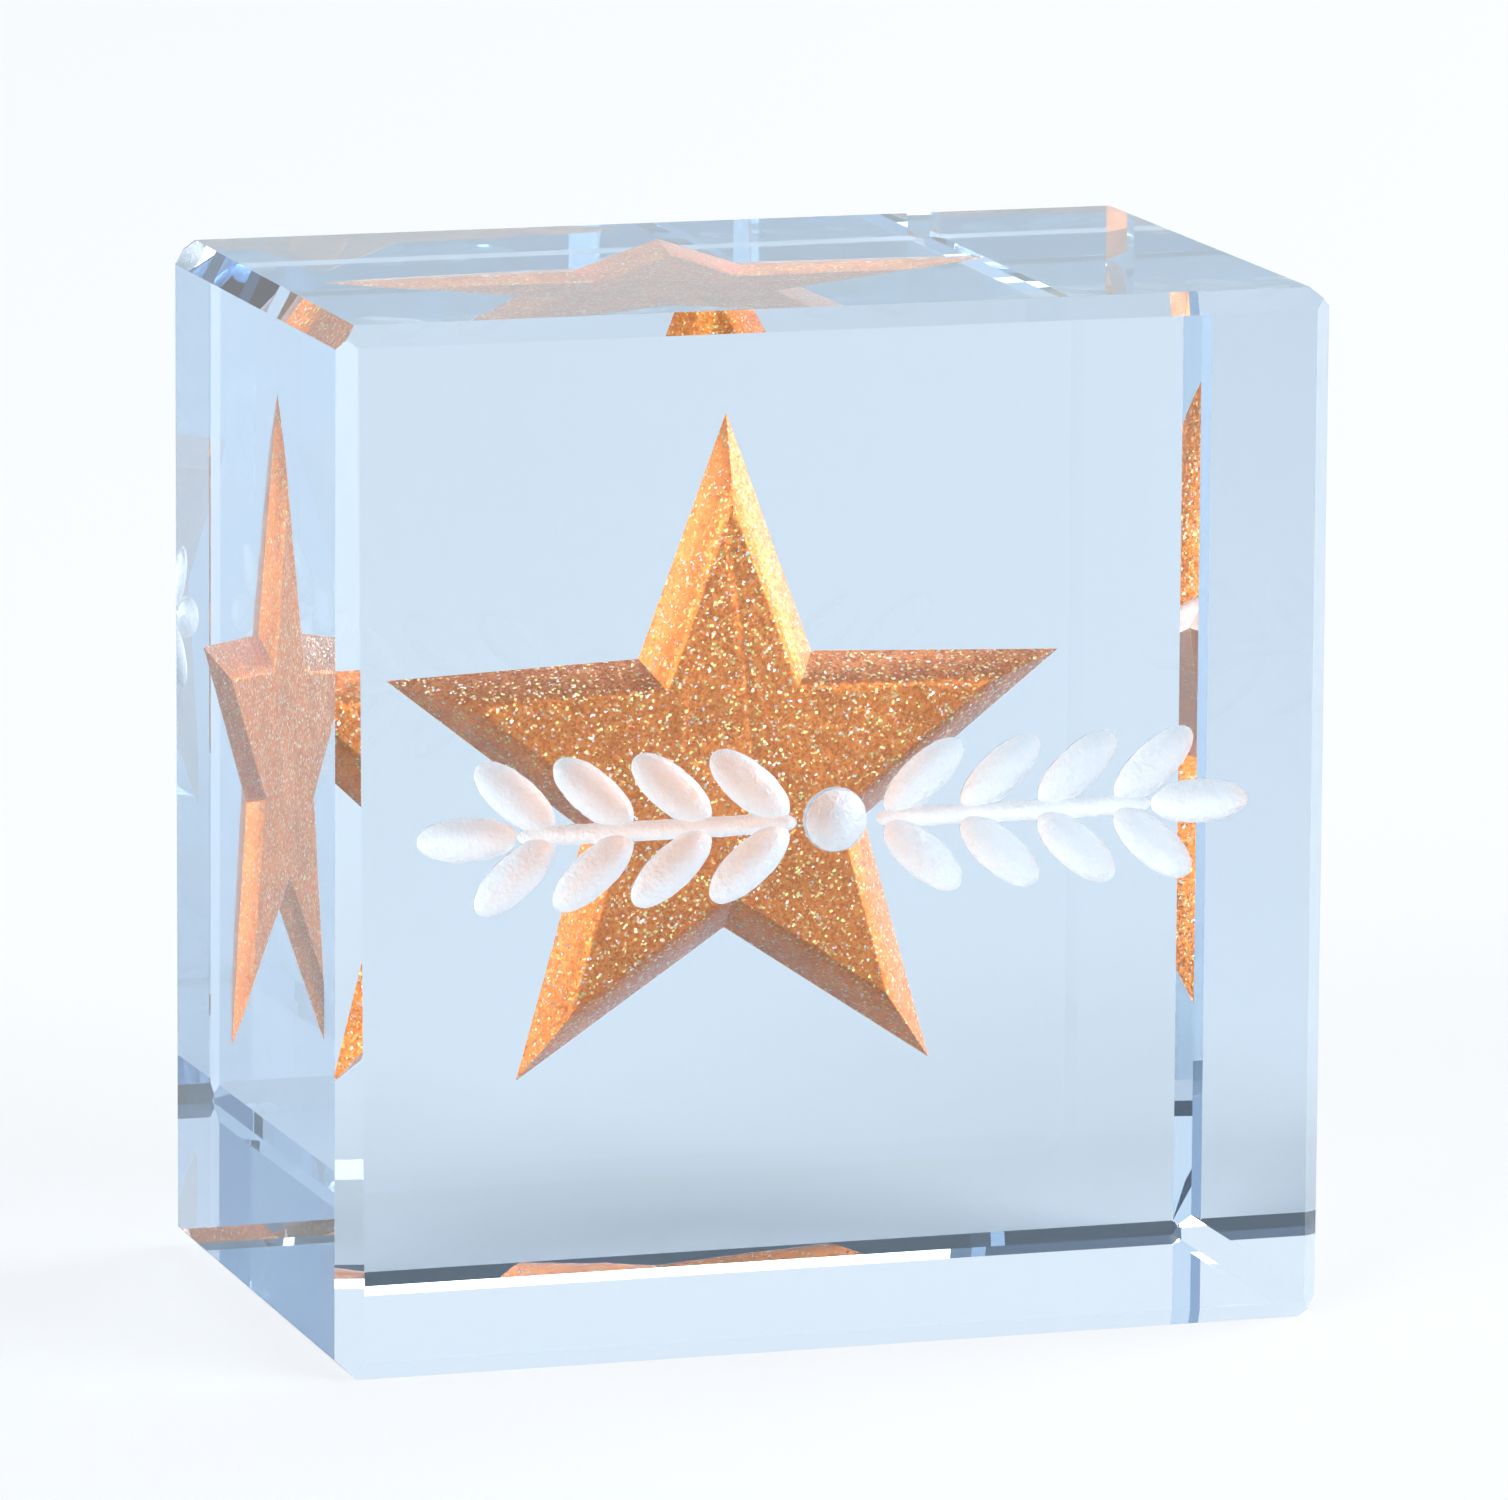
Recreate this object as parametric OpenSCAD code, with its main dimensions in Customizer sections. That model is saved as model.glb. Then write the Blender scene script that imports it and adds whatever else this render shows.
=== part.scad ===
// Solid glass block award. A five-pointed star is sunk into the back face
// and lined with glitter lacquer, and a frosted laurel band is cut into the
// front face. Millimetres, +Z up, origin at the centre of the resting face,
// front face towards -Y.

/* [Block] */
// Width of the block, left to right
block_w = 60; // [58:0.5:70]
// Depth of the block, front to back
block_d = 38; // [30:0.5:50]
// Height of the block
block_h = 61.3; // [58:0.1:72]
// Leg of the 45 degree ground bevel on every edge
bevel = 1.2; // [0.6:0.1:2]

/* [Star recess] */
// Radius of the circle through the five points
star_r = 22; // [18:0.5:23]
// Radius of the circle through the five inner corners
star_inner_r = 9.15; // [8.5:0.05:10.5]
// Height of the star's centre above the resting face
star_z = 29.65; // [28:0.05:32]
// Sideways place of the star's centre
star_x = 0.4; // [-1:0.1:1]
// Depth of the recess where the wall meets the floor, at the points of the star
wall_depth = 2.1; // [1.6:0.1:2.6]
// Width of the sloping wall, in from the outline
wall_run = 1.9; // [1.2:0.1:2.4]
// Extra depth of the floor at the centre of the star
floor_dish = 0.7; // [0.2:0.1:1.2]

/* [Lacquer] */
// Thickness of the glitter lacquer
glitter_t = 0.3; // [0.2:0.05:0.4]
// Thickness of the opaque backing coat
backing_t = 0.2; // [0.15:0.05:0.3]

/* [Laurel band] */
// Height of the band's centre line above the resting face
band_z = 31.5; // [29:0.1:34]
// Sideways place of the band's centre
band_x = -0.3; // [-1:0.1:1]
// Length of one leaf
leaf_l = 6.0; // [5:0.1:6.4]
// Width of one leaf, which is twice its depth
leaf_w = 2.6; // [1.8:0.1:2.8]
// Angle between a leaf and the stem
leaf_angle = 41; // [36:1:46]
// Distance from one pair of leaves to the next
leaf_pitch = 4.7; // [4.4:0.1:4.9]
// Radius of the round cut at the middle of the band
berry_r = 1.9; // [1.2:0.1:2]
// Radius of the stem's round-bottomed groove
stem_r = 0.6; // [0.3:0.05:0.8]

/* [Hidden] */
$fn = 48;
eps = 0.4;
pairs = 4;
first_pair = 3.0;
front_y = -block_d / 2;
back_y = block_d / 2;
// distance from the star's centre to the line of each of its ten edges
apothem = star_r * star_inner_r * sin(36)
        / sqrt(star_r * star_r + star_inner_r * star_inner_r - 2 * star_r * star_inner_r * cos(36));
wall_steps = 8;
dish_steps = 5;
last = wall_steps + dish_steps;
k_floor = 1 - wall_run / apothem;

// how fast the wall eases into the floor: 1 would be a straight slope
wall_ease = 1.35;

// share of the full depth reached at q of the way across the wall, and the wall's slope there
function rise(q) = 1 - pow(max(0, 1 - q), wall_ease);
function tilt(q) = atan(wall_ease * pow(max(0, 1 - q), wall_ease - 1) * wall_depth / wall_run);
function q_start(t) = t * pow(cos(tilt(0)), 2) / sin(tilt(0)) / wall_run;
// ring j of the recess, for a skin lying t inside the cut surface:
// a sloping wall, then a floor that is a shallow dome round the star's centre
function ring_q(j, t) = j < wall_steps ? q_start(t) + (1 - q_start(t)) * (1 - pow(1 - j / wall_steps, 1.5)) : 1;
function ring_k(j, t) = let (q = ring_q(j, t)) j == 0 ? 1 - t / sin(tilt(0)) / apothem
    : j <= wall_steps ? 1 - (wall_run * q + t * sin(tilt(q)) * (1 - pow(q, 4))) / apothem
    : k_floor * (1 - 0.9 * (j - wall_steps) / dish_steps);
function full_depth(r) = wall_depth + floor_dish * (1 - pow(r / star_r, 2));
function ring_d(j, t, r) = let (q = ring_q(j, t)) j == 0 ? 0 : full_depth(r) * rise(q) - t * cos(tilt(q));
function star_pt(r, i) = let (a = 90 + 36 * i) [star_x + r * cos(a), star_z + r * sin(a)];
function ring(j, t) = [for (i = [0:9]) let (r = ring_k(j, t) * (i % 2 == 0 ? star_r : star_inner_r), p = star_pt(r, i))
    [p[0], back_y - ring_d(j, t, r), p[1]]];
function rim(y) = [for (i = [0:9]) let (p = star_pt(i % 2 == 0 ? star_r : star_inner_r, i)) [p[0], y, p[1]]];
function flat(v) = [for (a = v) for (b = a) b];
// side facets between ring a and ring b of ten points each
function band_faces(a, b) = flat([for (i = [0:9]) let (n = (i + 1) % 10)
    [[a + i, a + n, b + n], [a + i, b + n, b + i]]]);
function turned(faces) = [for (f = faces) [f[2], f[1], f[0]]];
// fan that closes the ring starting at a around the single point c
function fan(a, c) = [for (i = [0:9]) [a + i, a + (i + 1) % 10, c]];

// closed solid of the whole recess, standing eps proud of the back face
module star_plug() {
    pts = concat(rim(back_y + eps), flat([for (j = [0:last]) ring(j, 0)]),
                 [[star_x, back_y - wall_depth - floor_dish, star_z], [star_x, back_y + eps, star_z]]);
    n = 10 * (last + 2);
    polyhedron(points = pts,
        faces = turned(concat(flat([for (j = [0:last]) band_faces(10 * j, 10 * j + 10)]),
                       fan(10 * (last + 1), n),
                       turned(fan(0, n + 1)))), convexity = 10);
}

// skin of the recess between the depths t0 and t1 inside the cut surface
module star_skin(t0, t1) {
    m = 10 * (last + 1);
    pts = concat(flat([for (j = [0:last]) ring(j, t0)]), flat([for (j = [0:last]) ring(j, t1)]),
                 [[star_x, back_y - wall_depth - floor_dish + t0, star_z],
                  [star_x, back_y - wall_depth - floor_dish + t1, star_z]]);
    outer = concat(flat([for (j = [0:last - 1]) band_faces(10 * j, 10 * j + 10)]), fan(10 * last, 2 * m));
    inner = concat(flat([for (j = [0:last - 1]) band_faces(m + 10 * j, m + 10 * j + 10)]), fan(m + 10 * last, 2 * m + 1));
    polyhedron(points = pts,
        faces = turned(concat(outer, turned(inner), turned(band_faces(0, m)))), convexity = 10);
}

// rectangle a by b with its four corners cut off
module cut_corners(a, b, c) {
    polygon([[-a / 2 + c, -b / 2], [a / 2 - c, -b / 2], [a / 2, -b / 2 + c], [a / 2, b / 2 - c],
             [a / 2 - c, b / 2], [-a / 2 + c, b / 2], [-a / 2, b / 2 - c], [-a / 2, -b / 2 + c]]);
}

// the block before carving: three bevelled bars crossing at right angles
module bevelled_block() {
    translate([0, 0, block_h / 2]) intersection() {
        translate([0, 0, -block_h / 2]) linear_extrude(block_h) cut_corners(block_w, block_d, bevel);
        rotate([90, 0, 0]) translate([0, 0, -block_d / 2]) linear_extrude(block_d) cut_corners(block_w, block_h, bevel);
        rotate([90, 0, 90]) translate([0, 0, -block_w / 2]) linear_extrude(block_w) cut_corners(block_d, block_h, bevel);
    }
}

// a leaf is a blunt spindle whose axis lies in the front face
function leaf_profile(n) = [for (i = [0:n]) let (z = -cos(180 * i / n)) [leaf_w / 2 * sqrt(max(0, 1 - pow(abs(z), 2.2))), z * leaf_l / 2]];
module leaf(x, z, a) {
    translate([band_x + x, front_y, band_z + z]) rotate([0, 90 - a, 0])
        translate([0, 0, leaf_l / 2]) rotate([0, 0, -90]) rotate_extrude() polygon(leaf_profile(12));
}

// mirrored sprigs of leaves on a stem, with a round cut between them
module laurel_cut() {
    translate([band_x, front_y + 0.5, band_z]) rotate([0, 0, -90]) sphere(r = berry_r);
    for (s = [0, 1]) {
        translate([band_x + (s == 0 ? 1 : -1) * 2.6, front_y, band_z]) rotate([0, s == 0 ? 90 : -90, 0])
            rotate([0, 0, -90]) cylinder(r = stem_r, h = pairs * leaf_pitch - 2.6);
        for (i = [0:pairs - 1]) for (u = [1, -1])
            leaf((s == 0 ? 1 : -1) * (first_pair + leaf_pitch * i), u * 0.35, s == 0 ? u * leaf_angle : 180 - u * leaf_angle);
        leaf((s == 0 ? 1 : -1) * (first_pair + leaf_pitch * pairs - 2.6), 0, s == 0 ? 0 : 180);
    }
}

module glass_block() {
    color([0.80, 0.89, 0.95, 0.45]) difference() {
        bevelled_block();
        star_plug();
        laurel_cut();
    }
}

module star_glitter_coat() { color([0.78, 0.50, 0.26]) star_skin(0, glitter_t); }

module star_backing_coat() { color([0.55, 0.33, 0.18]) star_skin(glitter_t, glitter_t + backing_t); }

glass_block();
star_glitter_coat();
star_backing_coat();
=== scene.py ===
import math

import bmesh
import bpy
import numpy as np
from mathutils import Matrix, Vector, noise

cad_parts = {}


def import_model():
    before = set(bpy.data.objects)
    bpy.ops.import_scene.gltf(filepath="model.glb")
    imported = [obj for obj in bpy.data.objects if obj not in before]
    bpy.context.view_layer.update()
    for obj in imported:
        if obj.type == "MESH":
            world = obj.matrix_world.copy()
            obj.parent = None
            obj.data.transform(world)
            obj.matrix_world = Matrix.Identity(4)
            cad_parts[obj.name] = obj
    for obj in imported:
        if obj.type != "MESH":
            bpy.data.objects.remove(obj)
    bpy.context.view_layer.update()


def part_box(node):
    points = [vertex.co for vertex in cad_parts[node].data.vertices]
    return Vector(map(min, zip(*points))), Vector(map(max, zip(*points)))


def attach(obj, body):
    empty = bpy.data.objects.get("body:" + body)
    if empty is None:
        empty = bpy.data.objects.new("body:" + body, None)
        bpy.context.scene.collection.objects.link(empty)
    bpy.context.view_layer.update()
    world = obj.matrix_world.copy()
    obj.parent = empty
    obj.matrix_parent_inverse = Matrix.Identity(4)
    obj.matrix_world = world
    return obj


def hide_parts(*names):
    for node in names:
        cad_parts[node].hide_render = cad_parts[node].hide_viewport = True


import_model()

scene = bpy.context.scene
MM = 0.001

# ---------------------------------------------------------------- the CAD sizes this scene builds around
lo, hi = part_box("glass_block")
W, D, H = (hi.x - lo.x) / MM, (hi.y - lo.y) / MM, (hi.z - lo.z) / MM
STAR_R, STAR_RI = 22.0, 9.15
STAR_X, STAR_Z = 0.4, 29.65
WALL_DEPTH, WALL_RUN, WALL_EASE, DISH = 2.1, 1.9, 1.35, 0.7
GLITTER_T, BACKING_T = 0.3, 0.2
BAND_X, BAND_Z = -0.3, 31.5
LEAF_L, LEAF_W, LEAF_A, LEAF_PITCH = 6.0, 2.6, 41.0, 4.7
BERRY_R, STEM_R, PAIRS, FIRST = 1.9, 0.6, 4, 3.0
FRONT, BACK = -D / 2, D / 2
APO = STAR_R * STAR_RI * math.sin(math.radians(36)) / math.sqrt(
    STAR_R**2 + STAR_RI**2 - 2 * STAR_R * STAR_RI * math.cos(math.radians(36)))
K_FLOOR = 1 - WALL_RUN / APO


# ---------------------------------------------------------------- camera
def make_camera():
    data = bpy.data.cameras.new("camera")
    cam = bpy.data.objects.new("camera", data)
    scene.collection.objects.link(cam)
    pos = Vector((-171.1 - 30.0, -617.9 - 19.0, 157.3)) * MM
    yaw, pitch, roll = math.radians(17.58), math.radians(-10.61), math.radians(0.36)
    fw = Vector((math.sin(yaw) * math.cos(pitch), math.cos(yaw) * math.cos(pitch), math.sin(pitch)))
    r = fw.cross(Vector((0, 0, 1))).normalized()
    u = r.cross(fw)
    r2 = math.cos(roll) * r + math.sin(roll) * u
    u2 = -math.sin(roll) * r + math.cos(roll) * u
    m = Matrix((r2, u2, -fw)).transposed().to_4x4()
    m.translation = pos
    cam.matrix_world = m
    data.sensor_width = 36.0
    data.lens = 11465.0 / 1508.0 * 36.0
    data.clip_start, data.clip_end = 0.05, 20.0
    data.dof.use_dof = False
    scene.camera = cam
    return cam


make_camera()


# ---------------------------------------------------------------- mesh helpers
def mesh_object(name, verts, faces, smooth=None):
    me = bpy.data.meshes.new(name)
    me.from_pydata([tuple(v) for v in verts], [], [tuple(f) for f in faces])
    me.validate()
    ob = bpy.data.objects.new(name, me)
    scene.collection.objects.link(ob)
    if smooth is not None:
        me.polygons.foreach_set("use_smooth", [smooth] * len(me.polygons))
    return ob


def bm_object(name, bm):
    me = bpy.data.meshes.new(name)
    bm.to_mesh(me)
    bm.free()
    ob = bpy.data.objects.new(name, me)
    scene.collection.objects.link(ob)
    return ob


def cut_by_plane(bm, co, no):
    """Cuts away what lies past the plane and closes the hole with one face."""
    res = bmesh.ops.bisect_plane(bm, geom=bm.verts[:] + bm.edges[:] + bm.faces[:], dist=1e-9,
                                 plane_co=co, plane_no=no, clear_outer=True, clear_inner=False)
    edges = [e for e in res["geom_cut"] if isinstance(e, bmesh.types.BMEdge)]
    if len(edges) >= 3:
        bmesh.ops.contextual_create(bm, geom=edges)


def plane3(a, b, c, inside):
    no = (b - a).cross(c - a).normalized()
    if (inside - a).dot(no) > 0:
        no = -no
    return a, no


# ---------------------------------------------------------------- the glass block
def block_mesh():
    """The block as hand-ground: six polished faces, twelve bevels whose legs differ a little from end to end,
    and eight softened corners. Legs are (leg on the first face, leg on the second face) at each end."""
    x0, x1, y0, y1, z0, z1 = -W / 2, W / 2, FRONT, BACK, 0.0, H
    bm = bmesh.new()
    bmesh.ops.create_cube(bm, size=1.0)
    for v in bm.verts:
        v.co = Vector((x1 if v.co.x > 0 else x0, y1 if v.co.y > 0 else y0, z1 if v.co.z > 0 else z0))
    c = Vector((0, 0, H / 2))
    # each bevel: two ends of the edge, the two directions into its faces, legs (first at end 1, second at end 1, first at end 2)
    bev = [
        # front face's four edges: first leg lies in the front face
        ((x0, y0, z0), (x0, y0, z1), (1, 0, 0), (0, 1, 0), 1.45, 1.35, 1.05),     # front left: wider at its foot
        ((x1, y0, z0), (x1, y0, z1), (-1, 0, 0), (0, 1, 0), 1.10, 1.20, 1.20),    # front right
        ((x0, y0, z1), (x1, y0, z1), (0, 0, -1), (0, 1, 0), 1.15, 1.25, 1.20),    # front top
        ((x0, y0, z0), (x1, y0, z0), (0, 0, 1), (0, 1, 0), 1.15, 0.90, 1.12),     # front bottom
        # back face's four edges: first leg lies in the back face
        ((x0, y1, z0), (x0, y1, z1), (1, 0, 0), (0, -1, 0), 1.10, 1.20, 1.15),    # back left
        ((x1, y1, z0), (x1, y1, z1), (-1, 0, 0), (0, -1, 0), 0.90, 1.22, 0.90),   # back right
        ((x0, y1, z1), (x1, y1, z1), (0, 0, -1), (0, -1, 0), 1.10, 1.15, 1.10),   # back top
        ((x0, y1, z0), (x1, y1, z0), (0, 0, 1), (0, -1, 0), 0.72, 0.985, 0.74),   # back bottom
        # the four edges that run front to back: first leg lies in the side face
        ((x0, y0, z1), (x0, y1, z1), (0, 0, -1), (1, 0, 0), 1.30, 1.15, 1.40),    # top left
        ((x1, y0, z1), (x1, y1, z1), (0, 0, -1), (-1, 0, 0), 1.15, 1.20, 1.10),   # top right
        ((x0, y0, z0), (x0, y1, z0), (0, 0, 1), (1, 0, 0), 1.15, 1.20, 1.20),     # bottom left
        ((x1, y0, z0), (x1, y1, z0), (0, 0, 1), (-1, 0, 0), 1.20, 1.15, 1.15),    # bottom right
    ]
    for e1, e2, da, db, a1, b1, a2 in bev:
        e1, e2, da, db = Vector(e1), Vector(e2), Vector(da), Vector(db)
        cut_by_plane(bm, *plane3(e1 + da * a1, e1 + db * b1, e2 + da * a2, c))
    # corners, each a main facet and three smaller ones that round it
    k = 0
    for sx in (0, 1):
        for sy in (0, 1):
            for sz in (0, 1):
                corner = Vector((x1 if sx else x0, y1 if sy else y0, z1 if sz else z0))
                out = Vector((1 if sx else -1, 1 if sy else -1, 1 if sz else -1))
                base = 1.45 + 0.12 * math.sin(2.3 * k + 0.7)
                main = Vector((out.x * (1 + 0.12 * math.sin(k)), out.y, out.z * (1 + 0.12 * math.cos(1.7 * k)))).normalized()
                # depth of the facet below the sharp corner, measured along its normal
                depth = base / math.sqrt(3)
                cut_by_plane(bm, corner - main * depth, main)
                for ax in range(3):
                    w = Vector(out)
                    w[ax] *= 2.1
                    n = w.normalized()
                    tip = abs(n.x) + abs(n.y) + abs(n.z)
                    reach = corner.dot(n) - 1.05 * (0.62 + 0.04 * math.sin(k + ax))
                    cut_by_plane(bm, n * reach, n)
                k += 1
    bmesh.ops.remove_doubles(bm, verts=bm.verts, dist=1e-4)
    bmesh.ops.recalc_face_normals(bm, faces=bm.faces)
    bmesh.ops.bevel(bm, geom=bm.edges[:], offset=0.075, offset_type="OFFSET", segments=2, profile=0.5,
                    affect="EDGES", clamp_overlap=True)
    bmesh.ops.recalc_face_normals(bm, faces=bm.faces)
    bm.transform(Matrix.Scale(MM, 4))
    return bm_object("glass_block_polished", bm)


def star_outline(k, per_edge):
    """Points round the star scaled by k, per_edge points to each of its ten edges."""
    corner = []
    for i in range(10):
        r = k * (STAR_R if i % 2 == 0 else STAR_RI)
        a = math.radians(90 + 36 * i)
        corner.append((STAR_X + r * math.cos(a), STAR_Z + r * math.sin(a)))
    pts = []
    for i in range(10):
        p, q = corner[i], corner[(i + 1) % 10]
        for j in range(per_edge):
            t = j / per_edge
            pts.append((p[0] + (q[0] - p[0]) * t, p[1] + (q[1] - p[1]) * t))
    return pts


def wall_rise(q):
    """Share of the full depth reached q of the way across the wall: nearly straight, easing into the floor."""
    return 1 - max(0.0, 1 - q) ** WALL_EASE


def wall_tilt(q):
    return math.atan(WALL_EASE * max(0.0, 1 - q) ** (WALL_EASE - 1) * WALL_DEPTH / WALL_RUN)


def ring_profile(t, wall_n, dish_n):
    """(k, q, drop) of each ring of a skin lying t inside the cut surface, from the back face to near the centre."""
    f0 = wall_tilt(0)
    q0 = t * math.cos(f0) ** 2 / math.sin(f0) / WALL_RUN
    out = [(1 - t / math.sin(f0) / APO, None, 0.0)]
    for j in range(1, wall_n + 1):
        q = q0 + (1 - q0) * (1 - (1 - j / wall_n) ** 1.5)
        f = wall_tilt(q)
        out.append((1 - (WALL_RUN * q + t * math.sin(f) * (1 - q ** 4)) / APO, q, t * math.cos(f)))
    for j in range(1, dish_n + 1):
        out.append((K_FLOOR * (1 - 0.985 * j / dish_n), 1.0, t))
    return out


def full_depth(x, z):
    """Depth of the floor below the back face: a shallow dome, deepest in the middle of the star."""
    return WALL_DEPTH + DISH * (1 - ((x - STAR_X) ** 2 + (z - STAR_Z) ** 2) / STAR_R ** 2)


def floor_relief(x, z):
    """Unevenness of the sandblasted floor, mm: long soft passes of the nozzle, and fine grain."""
    p = Vector((x * 0.16, 0.0, z * 0.05))
    q = Vector((x * 0.9, 3.0, z * 0.9))
    ridge = math.exp(-((x + 2.9 - 0.03 * (z - 30)) / 0.35) ** 2) * (1 / (1 + math.exp(-(z - 19) / 1.2))) * (1 / (1 + math.exp((z - 41) / 1.2)))
    bow = math.exp(-((x - 0.2 - 1.6 * (1 - ((z - 24) / 20) ** 2)) / 0.22) ** 2) * (1 / (1 + math.exp(-(z - 25) / 1.5))) * (1 / (1 + math.exp((z - 44) / 1.5)))
    return 0.10 * noise.noise(p) + 0.035 * noise.noise(q) + 0.07 * ridge - 0.06 * bow


def star_surface(t, wall_n, dish_n, per_edge, relief, sink=0.0):
    """Grid of points of one skin surface: rings of star outlines going down into the glass, and a centre point."""
    rings = []
    for k, q, drop in ring_profile(t, wall_n, dish_n):
        ring = []
        for x, z in star_outline(k, per_edge):
            d = sink
            if q is not None:
                d = max(sink + 0.004, full_depth(x, z) * wall_rise(q) - drop + relief * floor_relief(x, z) * q * q)
            ring.append(Vector((x, BACK - d, z)))
        rings.append(ring)
    d = full_depth(STAR_X, STAR_Z) - t + relief * floor_relief(STAR_X, STAR_Z)
    return rings, Vector((STAR_X, BACK - d, STAR_Z))


def skin_object(name, t0, t1, wall_n, dish_n, per_edge, relief):
    """Closed shell between two skin surfaces, with a rim in the back face."""
    verts, faces = [], []

    def add(rings, centre, flip):
        start = len(verts)
        n = len(rings[0])
        for ring in rings:
            verts.extend(p * MM for p in ring)
        verts.append(centre * MM)
        c = len(verts) - 1
        for j in range(len(rings) - 1):
            for i in range(n):
                a, b = start + j * n + i, start + j * n + (i + 1) % n
                f = (a, b, b + n, a + n)
                faces.append(f[::-1] if flip else f)
        j = len(rings) - 1
        for i in range(n):
            a, b = start + j * n + i, start + j * n + (i + 1) % n
            f = (a, b, c)
            faces.append(f[::-1] if flip else f)
        return start, n

    s0, n = add(*star_surface(t0, wall_n, dish_n, per_edge, relief, 0.012), False)
    s1, _ = add(*star_surface(t1, wall_n, dish_n, per_edge, relief, 0.012), True)
    for i in range(n):
        a, b = s0 + i, s0 + (i + 1) % n
        c, d = s1 + i, s1 + (i + 1) % n
        faces.append((b, a, c, d))
    ob = mesh_object(name, verts, faces, True)
    bm = bmesh.new()
    bm.from_mesh(ob.data)
    bmesh.ops.recalc_face_normals(bm, faces=bm.faces)
    bm.to_mesh(ob.data)
    bm.free()
    ob.data.set_sharp_from_angle(angle=math.radians(32))
    return ob


def star_cutter():
    """Closed solid of the recess, standing proud of the back face."""
    verts, faces = [], []
    rings, centre = star_surface(0.24, 18, 10, 8, 0.0)
    n = len(rings[0])
    rings = [[Vector((p.x, BACK + 1.0, p.z)) for p in rings[0]]] + rings
    for ring in rings:
        verts.extend(p * MM for p in ring)
    verts.append(centre * MM)
    c = len(verts) - 1
    for j in range(len(rings) - 1):
        for i in range(n):
            a, b = j * n + i, j * n + (i + 1) % n
            faces.append((a, b, b + n, a + n))
    j = len(rings) - 1
    for i in range(n):
        faces.append((j * n + i, j * n + (i + 1) % n, c))
    faces.append(tuple(range(n))[::-1])
    ob = mesh_object("star_cutter", verts, faces, True)
    bm = bmesh.new()
    bm.from_mesh(ob.data)
    bmesh.ops.triangulate(bm, faces=[f for f in bm.faces if len(f.verts) > 4])
    bmesh.ops.recalc_face_normals(bm, faces=bm.faces)
    bm.to_mesh(ob.data)
    bm.free()
    return ob


def spindle(length, width, n_len, n_round, power=2.2, seed=0.0):
    """A leaf-shaped cutter along +X from the origin, its surface slightly uneven, as sandblasting leaves it."""
    bm = bmesh.new()
    rings = []
    for j in range(1, n_len):
        s = -math.cos(math.pi * j / n_len)
        r = width / 2 * math.sqrt(max(0.0, 1 - abs(s) ** power))
        x = s * length / 2 + length / 2
        ring = []
        for i in range(n_round):
            a = 2 * math.pi * i / n_round
            p = Vector((x, r * math.cos(a), r * math.sin(a)))
            w = noise.noise(Vector((p.x * 2.1 + seed, p.y * 2.1, p.z * 2.1 + seed))) * 0.045 \
                + noise.noise(Vector((p.x * 6 + seed, p.y * 6 - seed, p.z * 6))) * 0.022
            rr = max(r + w * min(1, r / 0.5), 0.01)
            ring.append(bm.verts.new(Vector((x, rr * math.cos(a), rr * math.sin(a)))))
        rings.append(ring)
    a0, a1 = bm.verts.new(Vector((0, 0, 0))), bm.verts.new(Vector((length, 0, 0)))
    for r1, r2 in zip(rings, rings[1:]):
        for i in range(n_round):
            j = (i + 1) % n_round
            bm.faces.new((r1[i], r1[j], r2[j], r2[i]))
    for i in range(n_round):
        j = (i + 1) % n_round
        bm.faces.new((a0, rings[0][j], rings[0][i]))
        bm.faces.new((a1, rings[-1][i], rings[-1][j]))
    bmesh.ops.recalc_face_normals(bm, faces=bm.faces)
    return bm


def laurel_cutters():
    """One object per cut of the laurel band: leaves, stems and the round berry, all part sunk in the front face."""
    out = []

    def place(bm, x, z, ang, depth=0.0, name="cut"):
        m = Matrix.Translation(Vector((BAND_X + x, FRONT + depth, BAND_Z + z))) @ Matrix.Rotation(-math.radians(ang), 4, "Y")
        bm.transform(Matrix.Scale(MM, 4) @ m)
        out.append(bm_object(name, bm))

    bm = bmesh.new()
    bmesh.ops.create_icosphere(bm, subdivisions=5, radius=BERRY_R)
    for v in bm.verts:
        v.co += v.co.normalized() * (noise.noise(v.co * 2.1) * 0.04 + noise.noise(v.co * 6) * 0.02)
    place(bm, 0, 0, 0, 0.5)
    for s in (0, 1):
        sg = 1 if s == 0 else -1
        bm = spindle(PAIRS * LEAF_PITCH - 2.0, 2 * STEM_R, 60, 20, 14.0, 3.0 + s)
        place(bm, sg * 2.4, 0, 0 if s == 0 else 180)
        for i in range(PAIRS):
            for u in (1, -1):
                bm = spindle(LEAF_L, LEAF_W, 26, 36, 2.2, 10.0 * i + 3.3 * u + 50 * s)
                place(bm, sg * (FIRST + LEAF_PITCH * i), u * 0.35, u * LEAF_A if s == 0 else 180 - u * LEAF_A)
        bm = spindle(LEAF_L, LEAF_W, 26, 36, 2.2, 77.0 + s)
        place(bm, sg * (FIRST + LEAF_PITCH * PAIRS - 2.6), 0, 0 if s == 0 else 180)
    return out


def carve(block, cutters):
    for k, c in enumerate(cutters):
        mod = block.modifiers.new("cut%d" % k, "BOOLEAN")
        mod.operation = "DIFFERENCE"
        mod.solver = "EXACT"
        mod.object = c
    dg = bpy.context.evaluated_depsgraph_get()
    dg.update()
    me = bpy.data.meshes.new_from_object(block.evaluated_get(dg))
    old = block.data
    block.modifiers.clear()
    block.data = me
    bpy.data.meshes.remove(old)
    for c in cutters:
        bpy.data.objects.remove(c)
    return block


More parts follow.
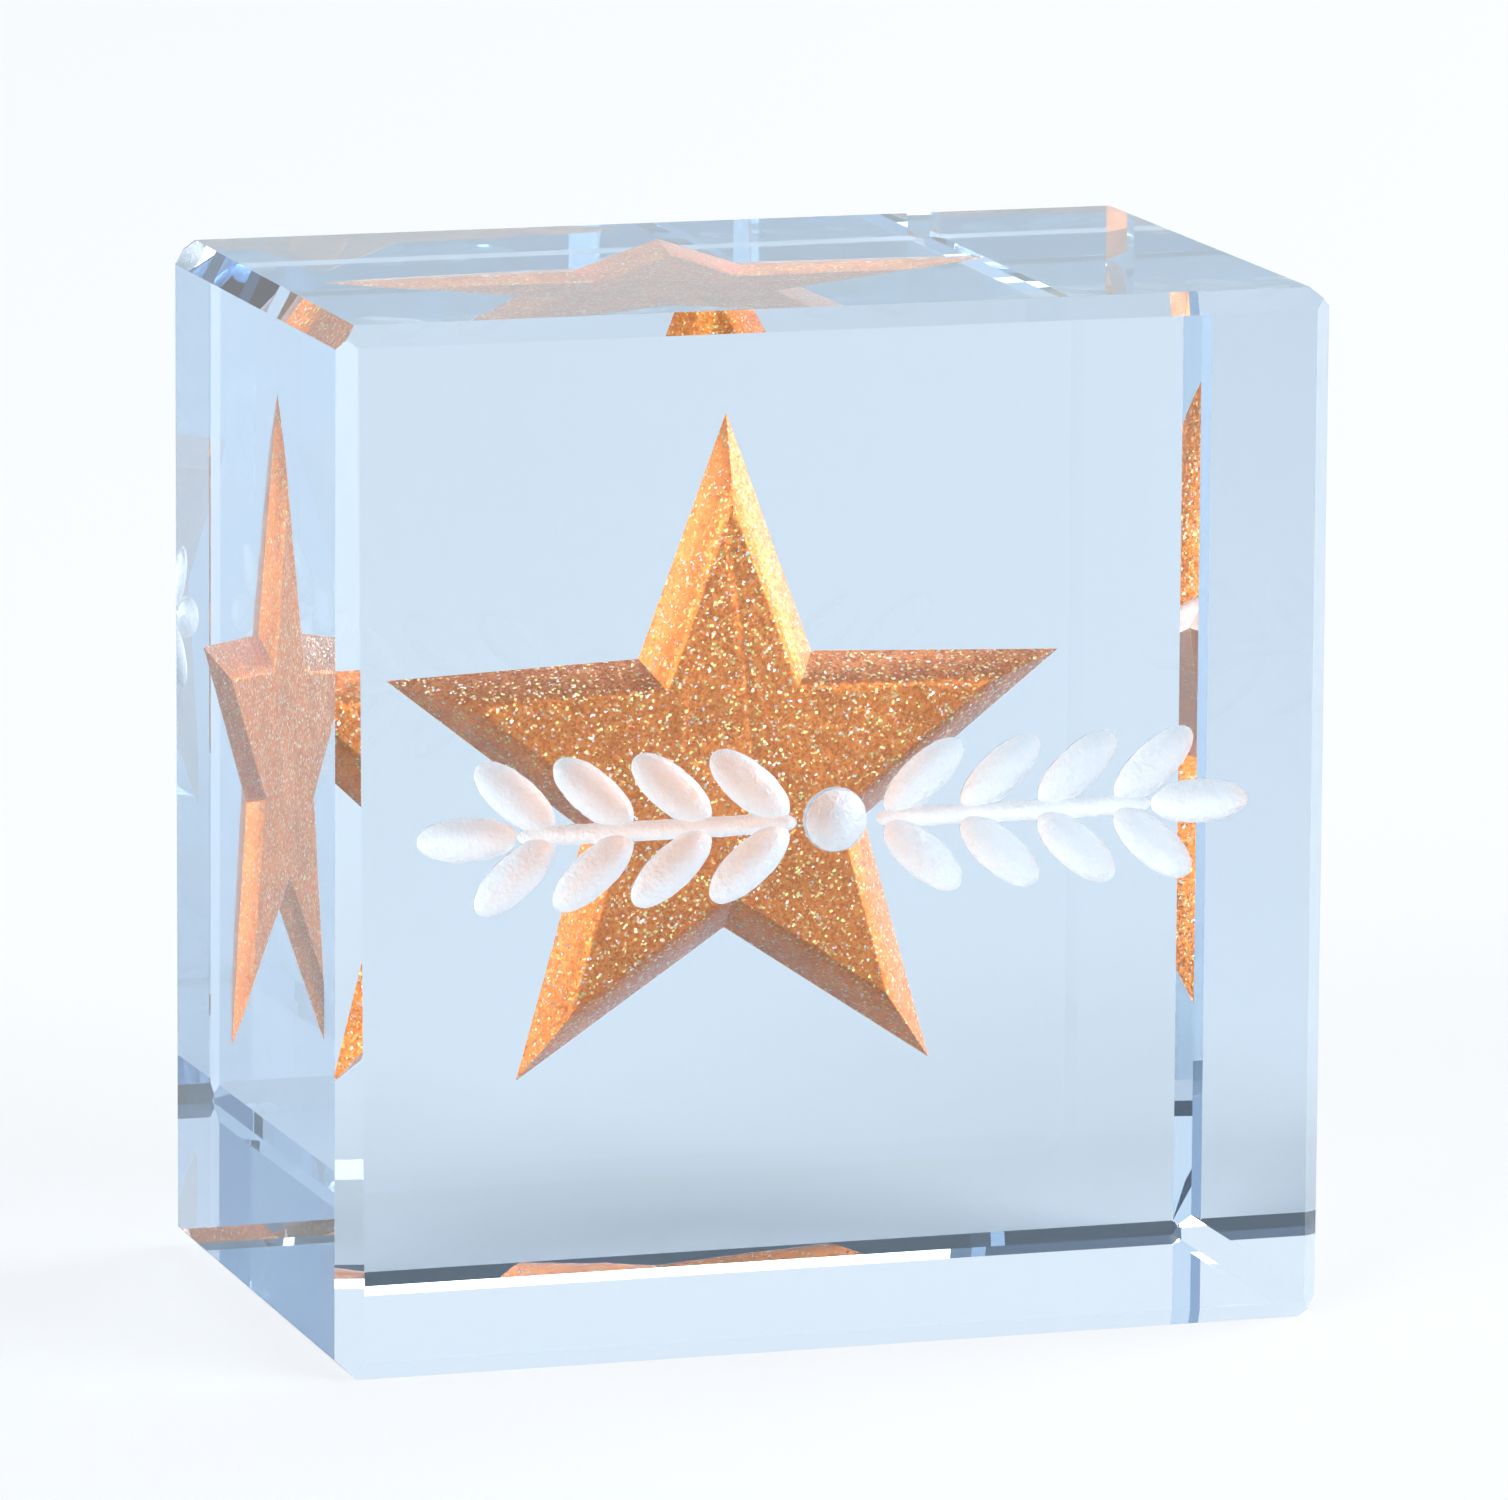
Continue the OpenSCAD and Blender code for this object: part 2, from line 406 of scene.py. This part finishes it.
block = block_mesh()
cut_star = star_cutter()
cuts = laurel_cutters()
carve(block, [cut_star] + cuts)
me = block.data
bm = bmesh.new()
bm.from_mesh(me)
bmesh.ops.remove_doubles(bm, verts=bm.verts, dist=1e-7)
bmesh.ops.dissolve_degenerate(bm, edges=bm.edges, dist=1e-7)
bmesh.ops.recalc_face_normals(bm, faces=bm.faces)
bad = [e for e in bm.edges if not e.is_manifold]
print("block: faces", len(bm.faces), "non-manifold edges", len(bad), "volume mm3", round(bm.calc_volume() * 1e9, 1))
frost_layer = bm.faces.layers.float.new("frost")
for f in bm.faces:
    c = f.calc_center_median() / MM
    inside_front = c.y > FRONT + 0.004 and c.y < FRONT + 3 and abs(c.x - BAND_X) < 26 and abs(c.z - BAND_Z) < 6
    f[frost_layer] = 1.0 if inside_front else 0.0
    star_wall = c.y > BACK - 4 and c.y < BACK - 0.004 and math.hypot(c.x - STAR_X, c.z - STAR_Z) < STAR_R + 0.2 \
        and abs(c.x) < W / 2 - 3 and c.z < H - 3 and c.z > 3
    f.smooth = bool(inside_front or star_wall)
soft = [f.smooth for f in bm.faces]
bm.to_mesh(me)
bm.free()
me.set_sharp_from_angle(angle=math.radians(30))
# the polished faces and bevels stay optically flat; only the carved surfaces are shaded smooth
me.polygons.foreach_set("use_smooth", soft)

coat = skin_object("star_glitter_lacquer", 0.0, GLITTER_T, 22, 30, 22, 1.0)
backing = skin_object("star_backing_lacquer", GLITTER_T - 0.02, GLITTER_T + BACKING_T, 14, 14, 12, 1.0)


# ---------------------------------------------------------------- materials
def material(name):
    mat = bpy.data.materials.new(name)
    mat.use_nodes = True
    nt = mat.node_tree
    nt.nodes.clear()
    out = nt.nodes.new("ShaderNodeOutputMaterial")
    return mat, nt, out


def node(nt, kind, **values):
    n = nt.nodes.new(kind)
    for key, v in values.items():
        if key.startswith("_"):
            setattr(n, key[1:], v)
        else:
            n.inputs[key.replace("__", " ")].default_value = v
    return n


def glass_material():
    mat, nt, out = material("optical_glass")
    p = node(nt, "ShaderNodeBsdfPrincipled")
    p.inputs["Base Color"].default_value = (1, 1, 1, 1)
    p.inputs["Transmission Weight"].default_value = 1.0
    p.inputs["IOR"].default_value = 1.53
    p.inputs["Roughness"].default_value = 0.0
    frost = node(nt, "ShaderNodeAttribute", _attribute_name="frost", _attribute_type="GEOMETRY")
    coord = node(nt, "ShaderNodeTexCoord")
    grain = node(nt, "ShaderNodeTexNoise")
    grain.inputs["Scale"].default_value = 4300.0
    grain.inputs["Detail"].default_value = 3.0
    nt.links.new(coord.outputs["Object"], grain.inputs["Vector"])
    coarse = node(nt, "ShaderNodeTexNoise")
    coarse.inputs["Scale"].default_value = 1500.0
    coarse.inputs["Detail"].default_value = 2.0
    nt.links.new(coord.outputs["Object"], coarse.inputs["Vector"])
    # roughness: near zero on polished faces with a faint wiped haze, satin and uneven where frosted
    haze = node(nt, "ShaderNodeTexNoise")
    haze.inputs["Scale"].default_value = 90.0
    haze.inputs["Detail"].default_value = 4.0
    nt.links.new(coord.outputs["Object"], haze.inputs["Vector"])
    hr = node(nt, "ShaderNodeMapRange")
    hr.inputs["From Min"].default_value, hr.inputs["From Max"].default_value = 0.62, 0.80
    hr.inputs["To Min"].default_value, hr.inputs["To Max"].default_value = 0.0, 0.02
    nt.links.new(haze.outputs["Fac"], hr.inputs["Value"])
    fr = node(nt, "ShaderNodeMapRange")
    fr.inputs["From Min"].default_value, fr.inputs["From Max"].default_value = 0.3, 0.7
    fr.inputs["To Min"].default_value, fr.inputs["To Max"].default_value = 0.45, 0.70
    nt.links.new(coarse.outputs["Fac"], fr.inputs["Value"])
    mix = node(nt, "ShaderNodeMix", _data_type="FLOAT")
    nt.links.new(frost.outputs["Fac"], mix.inputs[0])
    nt.links.new(hr.outputs["Result"], mix.inputs[2])
    nt.links.new(fr.outputs["Result"], mix.inputs[3])
    nt.links.new(mix.outputs[0], p.inputs["Roughness"])
    tw = node(nt, "ShaderNodeMapRange")
    tw.inputs["To Min"].default_value, tw.inputs["To Max"].default_value = 1.0, 0.70
    nt.links.new(frost.outputs["Fac"], tw.inputs["Value"])
    nt.links.new(tw.outputs["Result"], p.inputs["Transmission Weight"])
    add = node(nt, "ShaderNodeMath", _operation="MULTIPLY_ADD")
    nt.links.new(coarse.outputs["Fac"], add.inputs[0])
    add.inputs[1].default_value = 1.5
    nt.links.new(grain.outputs["Fac"], add.inputs[2])
    hgt = node(nt, "ShaderNodeMath", _operation="MULTIPLY")
    nt.links.new(add.outputs[0], hgt.inputs[0])
    nt.links.new(frost.outputs["Fac"], hgt.inputs[1])
    bump = node(nt, "ShaderNodeBump")
    bump.inputs["Strength"].default_value = 1.0
    bump.inputs["Distance"].default_value = 0.00013
    nt.links.new(hgt.outputs[0], bump.inputs["Height"])
    nt.links.new(bump.outputs["Normal"], p.inputs["Normal"])
    nt.links.new(p.outputs["BSDF"], out.inputs["Surface"])
    vol = node(nt, "ShaderNodeVolumeAbsorption")
    vol.inputs["Color"].default_value = (0.05, 0.46, 0.82, 1)
    vol.inputs["Density"].default_value = 5.0
    nt.links.new(vol.outputs["Volume"], out.inputs["Volume"])
    return mat


def glitter_material():
    """Copper lacquer full of flakes: each Voronoi cell is one flake, with its own tilt, colour and shine."""
    mat, nt, out = material("copper_glitter")
    p = node(nt, "ShaderNodeBsdfPrincipled")
    coord = node(nt, "ShaderNodeTexCoord")
    vor = node(nt, "ShaderNodeTexVoronoi", _feature="F1")
    vor.inputs["Scale"].default_value = 6800.0
    vor.inputs["Randomness"].default_value = 1.0
    nt.links.new(coord.outputs["Object"], vor.inputs["Vector"])
    sep = node(nt, "ShaderNodeSeparateColor")
    nt.links.new(vor.outputs["Color"], sep.inputs["Color"])
    # colour of each flake: mostly copper, a few gold, cream, rose and green-gold
    ramp = node(nt, "ShaderNodeValToRGB")
    cr = ramp.color_ramp
    cr.interpolation = "CONSTANT"
    cr.elements[0].position, cr.elements[0].color = 0.0, (0.84, 0.19, 0.026, 1)
    cr.elements[1].position, cr.elements[1].color = 0.22, (0.94, 0.24, 0.034, 1)
    for pos, col in ((0.50, (1.0, 0.29, 0.045, 1)), (0.80, (1.0, 0.36, 0.075, 1)), (0.88, (1.0, 0.60, 0.24, 1)),
                     (0.925, (1.0, 0.80, 0.28, 1)), (0.95, (1.0, 0.62, 0.50, 1)), (0.968, (0.85, 0.95, 0.30, 1)), (0.98, (1.0, 0.97, 0.85, 1))):
        e = cr.elements.new(pos)
        e.color = col
    nt.links.new(sep.outputs["Red"], ramp.inputs["Fac"])
    soft = node(nt, "ShaderNodeTexNoise")
    soft.inputs["Scale"].default_value = 330.0
    soft.inputs["Detail"].default_value = 5.0
    nt.links.new(coord.outputs["Object"], soft.inputs["Vector"])
    sr = node(nt, "ShaderNodeMapRange")
    sr.inputs["From Min"].default_value, sr.inputs["From Max"].default_value = 0.3, 0.7
    sr.inputs["To Min"].default_value, sr.inputs["To Max"].default_value = 0.84, 1.06
    nt.links.new(soft.outputs["Fac"], sr.inputs["Value"])
    mul = node(nt, "ShaderNodeMix", _data_type="RGBA", _blend_type="MULTIPLY")
    mul.inputs[0].default_value = 1.0
    nt.links.new(ramp.outputs["Color"], mul.inputs[6])
    nt.links.new(sr.outputs["Result"], mul.inputs[7])
    nt.links.new(mul.outputs[2], p.inputs["Base Color"])
    p.inputs["Metallic"].default_value = 0.85
    rr = node(nt, "ShaderNodeMapRange")
    rr.inputs["To Min"].default_value, rr.inputs["To Max"].default_value = 0.30, 0.50
    nt.links.new(sep.outputs["Green"], rr.inputs["Value"])
    nt.links.new(rr.outputs["Result"], p.inputs["Roughness"])
    p.inputs["Sheen Weight"].default_value = 1.0
    p.inputs["Sheen Roughness"].default_value = 0.45
    p.inputs["Sheen Tint"].default_value = (1.0, 0.90, 0.88, 1)
    # tilt of each flake: most lie nearly flat in the lacquer, one in twelve stands well out of it
    stands = node(nt, "ShaderNodeMapRange", _interpolation_type="LINEAR")
    stands.inputs["From Min"].default_value, stands.inputs["From Max"].default_value = 0.86, 0.93
    stands.inputs["To Min"].default_value, stands.inputs["To Max"].default_value = 0.16, 0.75
    nt.links.new(sep.outputs["Red"], stands.inputs["Value"])
    geo = node(nt, "ShaderNodeNewGeometry")
    sub = node(nt, "ShaderNodeVectorMath", _operation="SUBTRACT")
    nt.links.new(vor.outputs["Color"], sub.inputs[0])
    sub.inputs[1].default_value = (0.5, 0.5, 0.5)
    scl = node(nt, "ShaderNodeVectorMath", _operation="SCALE")
    nt.links.new(sub.outputs[0], scl.inputs[0])
    nt.links.new(stands.outputs["Result"], scl.inputs["Scale"])
    addn = node(nt, "ShaderNodeVectorMath", _operation="ADD")
    nt.links.new(geo.outputs["Normal"], addn.inputs[0])
    nt.links.new(scl.outputs[0], addn.inputs[1])
    nrm = node(nt, "ShaderNodeVectorMath", _operation="NORMALIZE")
    nt.links.new(addn.outputs[0], nrm.inputs[0])
    nt.links.new(nrm.outputs[0], p.inputs["Normal"])
    nt.links.new(p.outputs["BSDF"], out.inputs["Surface"])
    return mat


def backing_material():
    mat, nt, out = material("copper_backing")
    p = node(nt, "ShaderNodeBsdfPrincipled")
    coord = node(nt, "ShaderNodeTexCoord")
    n1 = node(nt, "ShaderNodeTexNoise")
    n1.inputs["Scale"].default_value = 420.0
    n1.inputs["Detail"].default_value = 5.0
    nt.links.new(coord.outputs["Object"], n1.inputs["Vector"])
    ramp = node(nt, "ShaderNodeValToRGB")
    ramp.color_ramp.elements[0].position, ramp.color_ramp.elements[0].color = 0.32, (0.20, 0.085, 0.035, 1)
    ramp.color_ramp.elements[1].position, ramp.color_ramp.elements[1].color = 0.72, (0.36, 0.17, 0.07, 1)
    nt.links.new(n1.outputs["Fac"], ramp.inputs["Fac"])
    nt.links.new(ramp.outputs["Color"], p.inputs["Base Color"])
    p.inputs["Metallic"].default_value = 0.35
    n2 = node(nt, "ShaderNodeTexNoise")
    n2.inputs["Scale"].default_value = 2600.0
    n2.inputs["Detail"].default_value = 3.0
    nt.links.new(coord.outputs["Object"], n2.inputs["Vector"])
    rr = node(nt, "ShaderNodeMapRange")
    rr.inputs["To Min"].default_value, rr.inputs["To Max"].default_value = 0.34, 0.56
    nt.links.new(n2.outputs["Fac"], rr.inputs["Value"])
    nt.links.new(rr.outputs["Result"], p.inputs["Roughness"])
    bump = node(nt, "ShaderNodeBump")
    bump.inputs["Strength"].default_value = 0.5
    bump.inputs["Distance"].default_value = 0.00006
    nt.links.new(n2.outputs["Fac"], bump.inputs["Height"])
    nt.links.new(bump.outputs["Normal"], p.inputs["Normal"])
    nt.links.new(p.outputs["BSDF"], out.inputs["Surface"])
    return mat


block.data.materials.clear()
block.data.materials.append(glass_material())
coat.data.materials.append(glitter_material())
backing.data.materials.append(backing_material())

for piece, cad, slot in ((block, "glass_block", "clear_glass"),
                         (coat, "star_glitter_coat", "copper_glitter_lacquer"),
                         (backing, "star_backing_coat", "copper_backing_lacquer")):
    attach(piece, "root")
    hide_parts(cad)


# ---------------------------------------------------------------- floor, world, lights
def floor_object():
    """A plain pale floor: slightly blue in what it lends to the glass, near white where it is seen directly."""
    bm = bmesh.new()
    bmesh.ops.create_circle(bm, cap_ends=True, segments=96, radius=6.0)
    ob = bm_object("studio_floor", bm)
    ob.location.z = -0.00002
    mat, nt, out = material("pale_floor")
    p = node(nt, "ShaderNodeBsdfPrincipled")
    coord = node(nt, "ShaderNodeTexCoord")
    n = node(nt, "ShaderNodeTexNoise")
    n.inputs["Scale"].default_value = 3.0
    nt.links.new(coord.outputs["Object"], n.inputs["Vector"])
    ramp = node(nt, "ShaderNodeValToRGB")
    ramp.color_ramp.elements[0].color = (0.500, 0.556, 0.606, 1)
    ramp.color_ramp.elements[1].color = (0.515, 0.570, 0.617, 1)
    nt.links.new(n.outputs["Fac"], ramp.inputs["Fac"])
    nt.links.new(ramp.outputs["Color"], p.inputs["Base Color"])
    p.inputs["Roughness"].default_value = 0.8
    p.inputs["Specular IOR Level"].default_value = 0.1
    glow = node(nt, "ShaderNodeEmission")
    glow.inputs["Color"].default_value = (1.0, 1.0, 1.0, 1)
    glow.inputs["Strength"].default_value = 1.06
    path = node(nt, "ShaderNodeLightPath")
    part = node(nt, "ShaderNodeMath", _operation="MULTIPLY")
    part.inputs[1].default_value = 0.66
    nt.links.new(path.outputs["Is Camera Ray"], part.inputs[0])
    mix = node(nt, "ShaderNodeMixShader")
    nt.links.new(part.outputs[0], mix.inputs[0])
    nt.links.new(p.outputs["BSDF"], mix.inputs[1])
    nt.links.new(glow.outputs["Emission"], mix.inputs[2])
    nt.links.new(mix.outputs["Shader"], out.inputs["Surface"])
    ob.data.materials.append(mat)
    return ob


floor_object()


def world():
    """A pale studio: bright behind and to the right, darker overhead, slate blue behind the camera."""
    w = bpy.data.worlds.new("studio")
    scene.world = w
    w.use_nodes = True
    nt = w.node_tree
    nt.nodes.clear()
    out = nt.nodes.new("ShaderNodeOutputWorld")
    bg = nt.nodes.new("ShaderNodeBackground")
    coord = nt.nodes.new("ShaderNodeTexCoord")
    sep = nt.nodes.new("ShaderNodeSeparateXYZ")
    nt.links.new(coord.outputs["Generated"], sep.inputs["Vector"])
    up = nt.nodes.new("ShaderNodeValToRGB")
    cr = up.color_ramp
    cr.interpolation = "EASE"
    cr.elements[0].position, cr.elements[0].color = 0.0, (0.80, 0.93, 1.02, 1)
    cr.elements[1].position, cr.elements[1].color = 0.80, (0.14, 0.16, 0.18, 1)
    for pos, col in ((0.15, (0.80, 0.93, 1.02, 1)), (0.22, (0.90, 0.96, 1.02, 1)), (0.42, (0.88, 0.94, 1.0, 1))):
        e = cr.elements.new(pos)
        e.color = col
    nt.links.new(sep.outputs["Z"], up.inputs["Fac"])
    # how far towards the camera's side: -Y is 1
    neg = nt.nodes.new("ShaderNodeMath")
    neg.operation = "MULTIPLY"
    neg.inputs[1].default_value = -1.0
    nt.links.new(sep.outputs["Y"], neg.inputs[0])
    fr = nt.nodes.new("ShaderNodeValToRGB")
    cr = fr.color_ramp
    cr.interpolation = "EASE"
    cr.elements[0].position, cr.elements[0].color = 0.45, (1.0, 1.0, 1.0, 1)
    cr.elements[1].position, cr.elements[1].color = 0.85, (0.36, 0.46, 0.60, 1)
    nt.links.new(neg.outputs[0], fr.inputs["Fac"])
    mul = nt.nodes.new("ShaderNodeMix")
    mul.data_type, mul.blend_type = "RGBA", "MULTIPLY"
    mul.inputs[0].default_value = 1.0
    nt.links.new(up.outputs["Color"], mul.inputs[6])
    nt.links.new(fr.outputs["Color"], mul.inputs[7])
    tint = nt.nodes.new("ShaderNodeMix")
    tint.data_type, tint.blend_type = "RGBA", "MULTIPLY"
    tint.inputs[0].default_value = 1.0
    nt.links.new(mul.outputs[2], tint.inputs[6])
    tint.inputs[7].default_value = (1.0, 1.0, 1.0, 1)
    nt.links.new(tint.outputs[2], bg.inputs["Color"])
    bg.inputs["Strength"].default_value = 1.0
    nt.links.new(bg.outputs["Background"], out.inputs["Surface"])


world()


def area(name, pos, target, size, power, color=(1, 1, 1)):
    data = bpy.data.lights.new(name, "AREA")
    data.shape = "RECTANGLE"
    data.size, data.size_y = size
    data.energy = power
    data.color = color
    ob = bpy.data.objects.new(name, data)
    scene.collection.objects.link(ob)
    ob.location = pos
    ob.rotation_mode = "QUATERNION"
    ob.rotation_quaternion = (Vector(target) - Vector(pos)).to_track_quat("-Z", "Y")
    return ob


area("key_front_right", (1.54, -1.292, 0.925), (0, 0, 0.03), (1.5, 0.75), 50.0, (1.0, 0.97, 0.93))
area("key_right", (2.20, 0.70, 0.25), (0, 0, 0.03), (1.5, 0.42), 205.0, (1.0, 0.97, 0.93))
area("fill_front_left", (-1.50, -1.15, 1.00), (0, 0, 0.03), (1.3, 0.8), 36.0, (0.97, 0.98, 1.0))
area("small_high", (0.457, -1.077, 1.12), (0, 0, 0.03), (0.36, 0.36), 2.0, (1.0, 0.99, 0.97))

scene.cycles.max_bounces = 18
scene.cycles.glossy_bounces = 16
scene.cycles.transmission_bounces = 18
scene.cycles.diffuse_bounces = 5
scene.cycles.use_denoising = True
scene.view_settings.view_transform = "Standard"
scene.view_settings.look = "None"
scene.view_settings.exposure = 0.0
